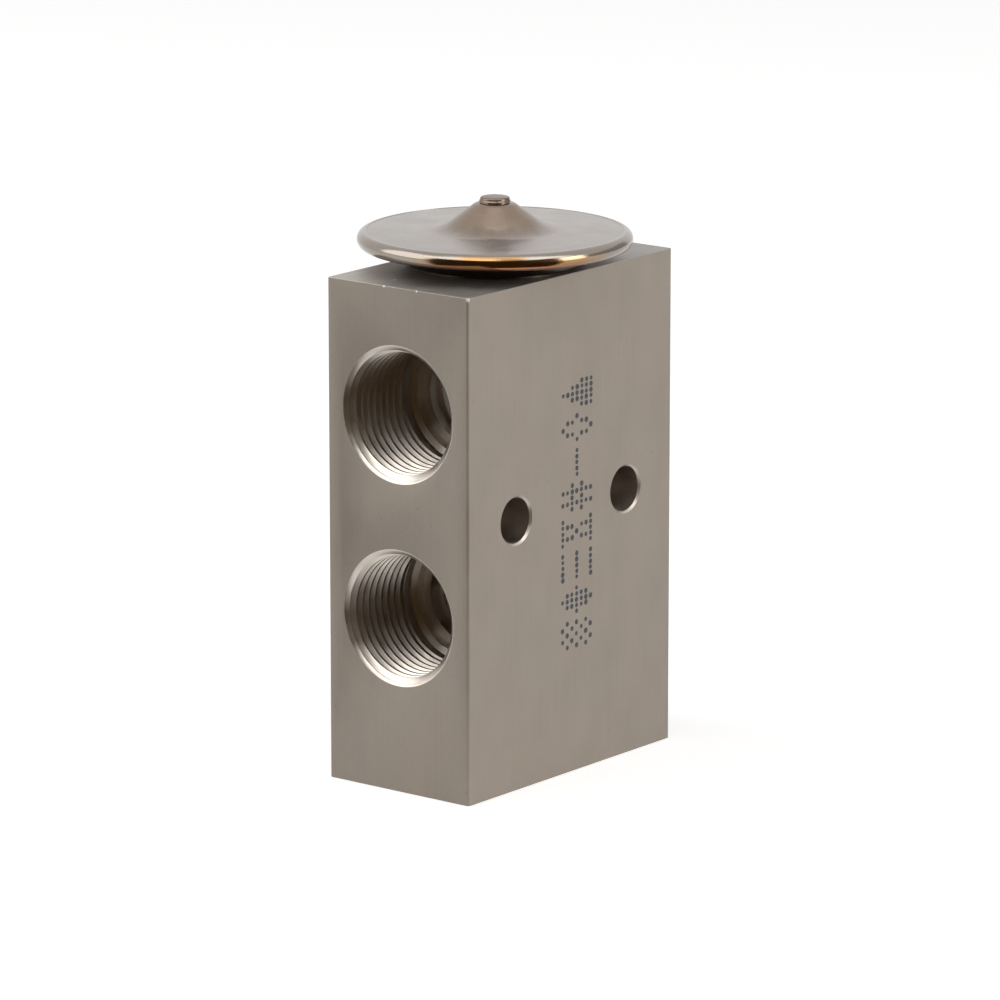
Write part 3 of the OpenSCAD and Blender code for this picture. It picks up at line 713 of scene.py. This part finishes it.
def weld_finish(colours, low, high):
    """Polished weld bead: fine ripples across it, and heat tint at the front."""
    made = Finish("weld_bead", colours.weld, 1.0, 0.14)
    middle = made.vector("SUBTRACT", made.place, (0, AXIS_Y, 0))
    flat = made.vector("NORMALIZE", made.vector("MULTIPLY", middle, (1, 1, 0)))
    cloud = made.noise((260, 260, 420), 3.0)
    front = made.plus(made.toward(flat, TINT_AZIMUTH), made.product(cloud, 0.2))
    height = made.between(made.part(2), low, high)
    near = made.between(front, 0.72, 1.08, smooth_step=True)
    low_band = made.product(near, made.between(height, 0.82, 0.62))
    core = made.between(made.toward(flat, TINT_CORE_AZIMUTH), 0.955, 0.99, smooth_step=True)
    band = made.math("MAXIMUM", low_band, made.product(core, made.between(height, 1.04, 0.9)))
    tint = made.mix(made.between(height, 0.2, 0.45), colours.tint_pink, colours.tint_gold)
    ripples = made.noise((360, 360, 0), at=flat)
    tinted = made.mix(band, colours.weld, tint)
    made.set(base_color=made.shaded(tinted, made.spread(ripples, 0.9, 1.07)),
             roughness=made.spread(cloud, 0.12, 0.18))
    return made.bump(ripples, 0.000006, 0.5).material


def turned_finish(name, base, roughness=0.3):
    """Turned metal round the valve axis, with fine rings up its sides and on its ends."""
    made = Finish(name, base, 1.0, roughness)
    rings = made.noise(7000, at=made.xyz(made.axis_radius(), made.part(2)))
    cloud = made.noise(300)
    tone = made.product(made.spread(rings, 0.92, 1.05), made.spread(cloud, 0.95, 1.04))
    made.set(base_color=made.shaded(base, tone),
             roughness=made.spread(cloud, roughness * 0.85, roughness * 1.2))
    return made.bump(rings, 0.000004, 0.6).material


def rubber_finish(base):
    """Matte seal rubber with a fine powdery grain."""
    made = Finish("seal_rubber", base, 0.0, 0.62)
    grain = made.noise(4200, 4.0, 0.7)
    made.set(base_color=made.shaded(base, made.spread(grain, 0.85, 1.3)),
             roughness=made.spread(grain, 0.55, 0.72))
    return made.bump(grain, 0.000008, 0.5).material


def ink_finish(base):
    """Printed ink that lets a little of the metal through."""
    made = Finish("print_ink", base, 0.0, 0.5)
    grain = made.noise(4200, 3.0)
    lighter = [channel + 0.05 for channel in base]
    made.set(base_color=made.mix(made.between(grain, 0.45, 0.75), base, lighter),
             roughness=made.spread(grain, 0.45, 0.6))
    return made.material


# Pieces

def bar_outline(width, depth, radius):
    """Outline of the bar, with an arc at each upright edge."""
    corners = [(width / 2, -depth / 2, radius), (width / 2, depth / 2, radius),
               (-width / 2, depth / 2, radius), (-width / 2, -depth / 2, radius)]
    return rounded(corners)


def bar(sizes, sides, ends):
    """Extruded bar, with its sawn ends."""
    width, depth, _ = BLOCK_HIGH - BLOCK_LOW
    bevel, bottom = sizes.sawn_bevel, BLOCK_LOW.z
    rings = []
    for height, inset in ((bottom, bevel), (bottom + bevel, 0), (BLOCK_TOP - bevel, 0), (BLOCK_TOP, bevel)):
        outline = bar_outline(width - 2 * inset, depth - 2 * inset, sizes.edge_radius - inset)
        rings.append([(x, y, height) for x, y in outline])
    piece = add_object("block", skin("block", rings), sides, ends)
    least_slope = 0.3
    for face in piece.data.polygons:
        face.material_index = int(abs(face.normal.z) > least_slope)
    return piece


def port_profile(sizes, crest, floor):
    """Half section of a port: countersunk mouth, crests, relief, tube seat and floor."""
    mouth, relief, seat = crest + sizes.mouth_step, crest + sizes.relief_step, crest - sizes.seat_step
    edge = sizes.face_break
    inside_edge = mouth - edge * sizes.mouth_step / sizes.mouth_depth
    relief_start = sizes.thread_end + sizes.relief_step
    relief_end = relief_start + sizes.relief_length
    return [
        (0, -OUT), (mouth + edge, -OUT), (mouth + edge, 0), (inside_edge, edge),
        (crest, sizes.mouth_depth), (crest, sizes.thread_end), (relief, relief_start), (relief, relief_end),
        (seat, relief_end + sizes.seat_cone), (seat, floor), (0, floor),
    ]


def port_cutters(name, sizes, floor, finish, segments, tree):
    """Bore and thread of one port, as cutters."""
    crest = MOUNTS[name]["dims"]["r_mm"] * MM
    place = port_place(name)
    bore = add_object(name, revolve(name, port_profile(sizes, crest, floor), segments, place), finish)
    start = -sizes.pitch / 2
    run = sizes.thread_end + sizes.relief_step - start
    thread = grow(name + "_thread", tree, finish, {
        "Crest Radius": crest, "Groove Depth": sizes.groove_depth, "Overlap": sizes.overlap,
        "Pitch": sizes.pitch, "Turns": run / sizes.pitch, "Steps": sizes.steps})
    thread.data.transform(place @ Matrix.Translation((0, 0, start)))
    return [bore, thread]


def drill(name, radius, start, end, finish, place, segments):
    """Plain bore cutter from one height to another."""
    profile = [(0, start), (radius, start), (radius, end), (0, end)]
    return add_object(name, revolve(name, profile, segments, place), finish)


def axis_profile(block):
    """Half section of the stepped bore down the valve axis, from the top."""
    suction, outlet = (MOUNTS[name]["pos_m"][2] for name in ("suction_port_front", "outlet_port"))
    seal_floor = suction - block.passage_radius - block.seal_depth
    guide_floor = outlet + block.passage_radius + block.guide_length
    cone_top = outlet - block.passage_radius - block.orifice_length
    packing_floor, neck_floor = BLOCK_TOP - block.packing_depth, BLOCK_TOP - block.neck_depth
    chamber_top = cone_top - block.seat_height
    return [
        (0, BLOCK_TOP + OUT), (block.packing_radius, BLOCK_TOP + OUT), (block.packing_radius, packing_floor),
        (block.neck_radius, packing_floor), (block.neck_radius, neck_floor), (block.vent_radius, neck_floor),
        (block.vent_radius, seal_floor), (block.shaft_bore_radius, seal_floor),
        (block.shaft_bore_radius, guide_floor), (block.rod_bore_radius, guide_floor),
        (block.rod_bore_radius, outlet), (block.orifice_radius, outlet), (block.orifice_radius, cone_top),
        (block.orifice_radius + block.seat_height, chamber_top), (block.chamber_radius, chamber_top),
        (block.chamber_radius, block.screw_depth), (block.screw_radius, block.screw_depth),
        (block.screw_radius, -OUT), (0, -OUT),
    ]


def block_cutters(scene, finishes):
    """Every bore of the block, as cutters."""
    block, ports, port = scene.valve_block, scene.valve_ports, finishes["port"]
    count = block.segments
    tree = thread_tree()
    width, depth, _ = BLOCK_HIGH - BLOCK_LOW
    floor, inlet_floor = ports.floor_depth, ports.inlet_floor_depth
    made = []
    for name in ("suction_port_front", "suction_port_rear", "outlet_port"):
        made += port_cutters(name, ports, floor, port, count, tree)
        made.append(drill(name + "_lead", ports.lead_radius, floor - OUT, floor + ports.lead_length, port,
                          port_place(name), count))
    made += port_cutters("inlet_port", ports, inlet_floor, port, count, tree)
    for name, radius, start, end, segments in (
        ("suction_port_front", block.passage_radius, floor - OUT, depth - floor + OUT, count),
        ("outlet_port", block.passage_radius, floor - OUT, AXIS_Y + block.outlet_past - BLOCK_LOW.y, count),
        ("inlet_port", block.inlet_passage_radius, inlet_floor - OUT, BLOCK_HIGH.y - AXIS_Y, 64),
    ):
        made.append(drill(name + "_way", radius, start, end, port, port_place(name), segments))
    axis_bore = revolve("axis_bore", axis_profile(block), count, on_axis())
    made.append(add_object("axis_bore", axis_bore, finishes["axis"]))
    bolts = MOUNTS["bolt_holes"]
    radius, spacing = bolts["dims"]["hole_r_mm"] * MM, bolts["dims"]["spacing_x_mm"] * MM
    wide, deep, start = radius + block.bolt_sink + OUT, width / 2 + OUT, width / 2 - block.bolt_sink
    profile = [(0, -deep), (wide, -deep), (radius, -start), (radius, start), (wide, deep), (0, deep)]
    for side in (-1, 1):
        place = facing((0, side * spacing / 2, bolts["pos_m"][2]), (1, 0, 0))
        made.append(add_object("bolt_hole", revolve("bolt_hole", profile, 96, place), finishes["bolt"]))
    return made


def upper_cover_profile(head, inner, low, top):
    """Half section of the pressed upper cover. top is the height of its neck."""
    cover_top = low + head.sheet
    edge = (inner, cover_top + head.edge_rise)
    land = (inner - head.land_width, cover_top + head.land_rise)
    foot = (head.cone_radius, cover_top + head.web_rise)
    shoulder = (head.shoulder_radius, cover_top + head.cone_rise)
    foot_in = mitre(land, foot, shoulder, head.sheet)
    free = inner - head.clamp_width - head.sheet / 2
    web_fall = (head.web_rise - head.land_rise) / (land[0] - foot[0])
    climb = (shoulder[1] - foot[1]) / (foot[0] - shoulder[0])
    free_in = (free, foot_in[1] - (free - foot_in[0]) * web_fall)
    hole_in = (head.charge_radius, foot_in[1] + (foot_in[0] - head.charge_radius) * climb)
    return rounded([
        (*edge, 0), (*land, head.land_round), (*foot, head.flare_radius),
        (*shoulder, head.shoulder_round), (head.nose_radius, shoulder[1], 0.05 * MM),
        (head.nose_radius, top, 0), (head.charge_radius, top, 0), (*hole_in, 0),
        (*foot_in, head.flare_radius + head.sheet), (*free_in, 0), (inner - head.clamp_width, low, 0),
        (inner, low, 0),
    ], 10)


def lower_cover_profile(head, inner, top):
    """Half section of the pressed lower cover: flange, dish, collar and neck."""
    floor = BLOCK_TOP + head.dish_floor
    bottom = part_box("head_lower_cover")[0].z
    rim = (inner, top)
    clamp = (inner - head.clamp_width, top)
    dish = (head.dish_radius, floor)
    hole = (head.neck_hole_radius, floor)
    clamp_out = mitre(rim, clamp, dish, head.sheet)
    dish_out = mitre(clamp, dish, hole, head.sheet)
    bend = head.sheet
    return rounded([
        (*rim, 0), (*clamp, bend), (*dish, bend), (*hole, 0), (head.neck_hole_radius, bottom, 0),
        (head.neck_radius, bottom, 0.3 * MM), (head.neck_radius, BLOCK_TOP, 0),
        (head.hub_radius, BLOCK_TOP, 0), (head.hub_radius, floor - head.sheet, 0), (*dish_out, bend),
        (*clamp_out, bend), (inner, top - head.sheet, 0),
    ], 6)


def bead_profile(head, inner, steps=64):
    """Half section of the weld bead: a round cut off where the covers end."""
    low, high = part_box("rim_weld_bead")
    radius = (high.z - low.z) / 2 + head.bead_over
    centre = (high.x - radius, (high.z + low.z) / 2 + head.bead_lift)
    sweep = math.acos((inner - centre[0]) / radius)
    angles = [-sweep + 2 * sweep * k / steps for k in range(steps + 1)]
    return [(centre[0] + radius * math.cos(a), centre[1] + radius * math.sin(a)) for a in angles]


def plug_profile(head):
    """Half section of the charge plug: stem and domed cap on a sloped foot."""
    low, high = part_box("charge_plug")
    top, radius, height = high.z, head.cap_radius, head.cap_height
    drawn, bottom = radius - head.cap_draw, top - height
    stem = head.charge_radius - 0.03 * MM
    return rounded([
        (0, low.z, 0), (stem, low.z, 0.1 * MM), (stem, bottom, 0), (radius, bottom, 0.03 * MM),
        (radius, bottom + height * 0.12, 0.04 * MM), (drawn, bottom + height * 0.42, 0.06 * MM),
        (drawn, top - height * 0.12, 0.26 * MM), (radius * 0.53, top - height * 0.02, 0), (0, top, 0),
    ], 5)


# Figures of the print. u counts dots and v counts lines from the middle.

DOTS, LINES = 2, 3


def slant(v):
    """Dots between the middle and a slanting side, at a line."""
    return round(abs(v) * DOTS / LINES)


FIGURES = {
    "wedge": lambda u, v: 2 * abs(u) <= v + LINES,
    "diamond": lambda u, v: abs(u) == slant(LINES - abs(v)),
    "dash": lambda u, v: v == 0,
    "lattice": lambda u, v: abs(u) == 1 or abs(v) == 1,
    "hourglass": lambda u, v: abs(v) == LINES or abs(u) == slant(v),
    "bars": lambda u, v: v in (-LINES, 0, LINES),
    "solid diamond": lambda u, v: abs(u) <= slant(LINES - abs(v)),
    "checker": lambda u, v: (u + v) % 2 == 0,
}


def print_points(sizes):
    """Place of every dot of the print."""
    points = []
    for index, figure in enumerate(FIGURES.values()):
        middle = sizes.top - DOTS * sizes.dot_pitch - index * sizes.figure_pitch
        for u in range(-DOTS, DOTS + 1):
            for v in range(-LINES, LINES + 1):
                if figure(u, v):
                    y = (v + LINES) * sizes.line_pitch - sizes.left
                    points.append((BLOCK_HIGH.x, y, middle - u * sizes.dot_pitch))
    return points


# Operators

class ValveOperator:
    """What every operator here shares."""
    bl_options = {"REGISTER", "UNDO"}


class VALVE_OT_block(ValveOperator, Operator):
    """Builds the block with its threaded ports and bores"""
    bl_idname = "valve.block"
    bl_label = "Block"

    def execute(self, context):
        scene = context.scene
        colours = scene.valve_colours
        sides, ends = extruded_finish(colours.extruded), sawn_finish(colours.sawn)
        finishes = {
            "port": machined_finish("machined_ports", colours.port, 1, 0.33),
            "axis": machined_finish("machined_axis", colours.machined, 2),
            "bolt": machined_finish("machined_bolts", colours.machined, 0),
        }
        piece = carve(bar(scene.valve_block, sides, ends), block_cutters(scene, finishes))
        smooth(piece)
        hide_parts("valve_body")
        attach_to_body(piece, "block")
        return {"FINISHED"}


class VALVE_OT_head(ValveOperator, Operator):
    """Builds the welded head: covers, weld bead and charge plug"""
    bl_idname = "valve.head"
    bl_label = "Head"

    def execute(self, context):
        head, colours = context.scene.valve_head, context.scene.valve_colours
        low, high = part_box("head_upper_cover")
        inner = high.x
        bead_low, bead_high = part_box("rim_weld_bead")
        cap_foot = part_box("charge_plug")[1].z - head.cap_height
        cover = cover_finish("pressed_cover", colours.cover, colours.cover_cone_tint_and_shade, inner - head.land_width)
        # The lower cover in a dark colour: painted shade under the head
        under = cover_finish("lower_cover", colours.under, colours.under, inner)
        cap = cover_finish("charge_cap", colours.cap, colours.cap, inner)
        weld = weld_finish(colours, bead_low.z, bead_high.z)
        upper = upper_cover_profile(head, inner, low.z, cap_foot)
        lower = lower_cover_profile(head, inner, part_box("head_lower_cover")[1].z)
        for name, node, profile, finish, slot in (
            ("upper_cover", "head_upper_cover", upper, cover, "head_steel"),
            ("lower_cover", "head_lower_cover", lower, under, "head_steel"),
            ("weld_bead", "rim_weld_bead", bead_profile(head, inner), weld, "weld_steel"),
            ("charge_cap", "charge_plug", plug_profile(head), cap, "head_steel"),
        ):
            piece = add_object(name, revolve(name, profile, head.segments, on_axis()), finish)
            smooth(piece, 24)
            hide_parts(node)
            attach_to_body(piece, "block")
        return {"FINISHED"}


class VALVE_OT_spring(ValveOperator, Operator):
    """Winds the superheat spring"""
    bl_idname = "valve.spring"
    bl_label = "Spring"

    def execute(self, context):
        wire, turns = context.scene.valve_spring.wire, context.scene.valve_spring.turns
        low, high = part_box("superheat_spring")
        middle = (low.z + high.z) / 2
        finish = turned_finish("spring_wire", context.scene.valve_colours.steel, 0.28)
        tree = spring_tree()
        for name, first, last, bodies, start, end in (
            ("spring_lower_half", 0.0, 0.5, ("screw_travel", "block"), low.z + wire, middle - wire / 2),
            ("spring_upper_half", 0.5, 1.0, ("block", "valve_train"), middle + wire / 2, high.z - wire),
        ):
            piece = grow(name, tree, finish, {
                "Radius": (high.x - low.x - wire) / 2, "Wire": wire, "Height": high.z - low.z - wire,
                "Turns": turns, "First": first, "Last": last})
            piece.data.transform(on_axis(low.z + wire / 2))
            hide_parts("superheat_spring")
            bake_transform(piece)
        return {"FINISHED"}


class VALVE_OT_inner(ValveOperator, Operator):
    """Finishes the pieces inside the block"""
    bl_idname = "valve.inner"
    bl_label = "Inner pieces"

    def execute(self, context):
        colours = context.scene.valve_colours
        steel = turned_finish("inner_steel", colours.steel, 0.26)
        shaft = turned_finish("turned_shaft", colours.shaft, 0.3)
        brass = turned_finish("turned_brass", colours.brass, 0.28)
        rubber = rubber_finish(colours.rubber)
        finishes = {
            "diaphragm": steel, "thrust_plate": steel, "working_rod": steel, "seal_washer": steel,
            "valve_ball": steel, "damper_spring": steel, "sensing_shaft": shaft, "ball_holder": brass,
            "adjusting_screw": brass, "head_packing": rubber, "shaft_seal": rubber, "adjuster_seal": rubber,
        }
        tree = shading_tree()
        for name, finish in finishes.items():
            node = frame["nodes"][name]
            node.data.materials.clear()
            node.data.materials.append(finish)
            attach(node, tree, finish, {})
        return {"FINISHED"}


class VALVE_OT_print(ValveOperator, Operator):
    """Prints the row of dot figures on the right bolt face"""
    bl_idname = "valve.print"
    bl_label = "Print"

    def execute(self, context):
        sizes = context.scene.valve_print
        points = bpy.data.meshes.new("dot_print")
        points.from_pydata(print_points(sizes), [], [])
        piece = grow("dot_print", dot_tree(), ink_finish(context.scene.valve_colours.ink), {
            "Dot Radius": sizes.dot_radius, "Ink": sizes.ink, "Jitter": sizes.jitter}, points)
        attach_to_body(piece, "block")
        return {"FINISHED"}


# Stage

def seen_white(nodes):
    """1 where the camera, a reflection or a refraction looks, and 0 for light on the object."""
    path = nodes.add("ShaderNodeLightPath").outputs
    seen = nodes.math("ADD", path["Is Camera Ray"], path["Is Glossy Ray"])
    return nodes.math("ADD", seen, path["Is Transmission Ray"], clamp=True)


def add_floor(sizes):
    """Pale floor that looks white and keeps the object's shadow."""
    finish = Finish("floor", (0.86, 0.86, 0.86), 0.0, 0.9)
    strength = finish.math("MULTIPLY", seen_white(finish), sizes.backdrop)
    white = finish.out("ShaderNodeEmission", {"Color": (1, 1, 1, 1), "Strength": strength})
    lit = finish.out("ShaderNodeAddShader", {0: finish.shader.outputs[0], 1: white})
    finish.feed(finish.tree.nodes["Material Output"], "Surface", lit)
    drop = 0.05 * MM
    outline = [(sizes.floor_radius * math.cos(a), sizes.floor_radius * math.sin(a), -drop)
               for a in (math.tau * k / 64 for k in range(64))]
    mesh = bpy.data.meshes.new("floor")
    mesh.from_pydata(outline, [], [range(64)])
    floor = add_object("floor", mesh, finish.material)


def add_world(sizes):
    """White surroundings, with a softer fill on the object."""
    world = bpy.data.worlds.new("surroundings")
    world.use_nodes = True
    bpy.context.scene.world = world
    nodes = Nodes(world.node_tree)
    strength = nodes.math("MAXIMUM", seen_white(nodes), sizes.world_fill)
    background = world.node_tree.nodes["Background"]
    background.inputs["Color"].default_value = (1, 1, 1, 1)
    nodes.feed(background, "Strength", strength)


def direction_of(azimuth, elevation):
    """Unit vector towards an azimuth to the right of the front and an elevation, in degrees."""
    a, e = math.radians(azimuth), math.radians(elevation)
    return Vector((math.sin(a) * math.cos(e), -math.cos(a) * math.cos(e), math.sin(e)))


def add_facing(name, data, azimuth, elevation, distance, height):
    """Puts a lamp or a camera at a distance, facing the block's upright middle line at a height."""
    towards = direction_of(azimuth, elevation)
    holder = bpy.data.objects.new(name, data)
    bpy.context.scene.collection.objects.link(holder)
    holder.location = towards * distance + UP * height
    holder.rotation_mode = "QUATERNION"
    holder.rotation_quaternion = towards.to_track_quat("Z", "Y")
    return holder


def add_lamp(name, azimuth, elevation, distance, size, watts, tint):
    """Square soft box that faces the object."""
    lamp = bpy.data.lights.new(name, "AREA")
    lamp.shape = "SQUARE"
    lamp.size, lamp.energy, lamp.color = size, watts, tint
    add_facing(name, lamp, azimuth, elevation, distance, 40 * MM)


def add_camera(sizes):
    camera = bpy.data.cameras.new("camera")
    camera.lens, camera.clip_end = sizes.lens, 20
    camera.shift_x, camera.shift_y = sizes.shift_x, sizes.shift_y
    bpy.context.scene.camera = add_facing(
        "camera", camera, math.degrees(sizes.azimuth), math.degrees(sizes.elevation), sizes.distance,
        sizes.target_height)


def add_reflection(name, tint, start, end, outline, steps=48):
    """Part of the studio that only polished metal reflects, from one azimuth to another.
    outline gives the radius and height of its rows."""
    finish = Finish(name, (0.0, 0.0, 0.0), 0.0, 1.0)
    glow = finish.out("ShaderNodeEmission", {"Color": (*tint, 1.0), "Strength": 1.0})
    finish.feed(finish.tree.nodes["Material Output"], "Surface", glow)
    points = [direction_of(start + (end - start) * k / steps, 0) * radius + UP * height
              for radius, height in outline for k in range(steps + 1)]
    wide = steps + 1
    faces = [(r * wide + k, r * wide + k + 1, (r + 1) * wide + k + 1, (r + 1) * wide + k)
             for r in range(len(outline) - 1) for k in range(steps)]
    mesh = bpy.data.meshes.new(name)
    mesh.from_pydata(points, [], faces)
    side = add_object(name, mesh, finish.material)
    side.visible_camera = side.visible_diffuse = side.visible_shadow = False
    side.visible_transmission = side.visible_volume_scatter = False


def add_reflections(sizes):
    """Dark side behind and under the camera, bright strips above it and a grey side at the right."""
    start, end = math.degrees(sizes.dark_start), math.degrees(sizes.dark_end)
    floor = 0.2 * MM
    dark = ((sizes.dark_near, floor), (DARK_DISTANCE, floor), (DARK_DISTANCE, sizes.dark_height))
    add_reflection("dark_side", sizes.dark_colour, start, end, dark)
    for name, left, right, low, high, grey in GLOW_SIDES:
        angles = [math.radians(elevation) for elevation in (low, (low + high) / 2, high)]
        rows = [(GLOW_DISTANCE * math.cos(a), GLOW_DISTANCE * math.sin(a)) for a in angles]
        add_reflection(name, (grey, grey, grey), left, right, rows)


class VALVE_OT_stage(ValveOperator, Operator):
    """Sets up the floor, lamps, surroundings and camera"""
    bl_idname = "valve.stage"
    bl_label = "Stage"

    def execute(self, context):
        sizes = context.scene.valve_stage
        context.scene.view_settings.view_transform = "Standard"
        add_floor(sizes)
        add_world(sizes)
        add_reflections(sizes)
        for lamp in LAMPS:
            add_lamp(*lamp)
        add_camera(sizes)
        return {"FINISHED"}


class VALVE_PT_panel(Panel):
    """Lists the valve's operators and sizes"""
    bl_idname = "VALVE_PT_panel"
    bl_label = "Expansion valve"
    bl_space_type = "VIEW_3D"
    bl_region_type = "UI"
    bl_category = "Valve"

    def draw(self, context):
        for operator in OPERATORS:
            self.layout.operator(operator.bl_idname)
        for name in GROUPS:
            group = getattr(context.scene, name)
            box = self.layout.box()
            box.label(text=group.bl_rna.description or name)
            for key in group.__annotations__:
                box.prop(group, key)


GROUPS = {
    "valve_block": ValveBlockSizes, "valve_ports": ValvePortSizes, "valve_head": ValveHeadSizes,
    "valve_print": ValvePrintSizes, "valve_spring": ValveSpringSizes, "valve_colours": ValveColours,
    "valve_stage": ValveStageSizes,
}
OPERATORS = (VALVE_OT_stage, VALVE_OT_block, VALVE_OT_head, VALVE_OT_spring, VALVE_OT_inner, VALVE_OT_print)


def register():
    for group in (*GROUPS.values(), *OPERATORS, VALVE_PT_panel):
        bpy.utils.register_class(group)
    for name, group in GROUPS.items():
        setattr(bpy.types.Scene, name, PointerProperty(type=group))


def unregister():
    for name in GROUPS:
        delattr(bpy.types.Scene, name)
    for group in reversed((*GROUPS.values(), *OPERATORS, VALVE_PT_panel)):
        bpy.utils.unregister_class(group)


def main():
    register()
    bpy.ops.valve.stage()
    bpy.ops.valve.block()
    bpy.ops.valve.head()
    bpy.ops.valve.spring()
    bpy.ops.valve.inner()
    bpy.ops.valve.print()


if __name__ == "__main__":
    main()
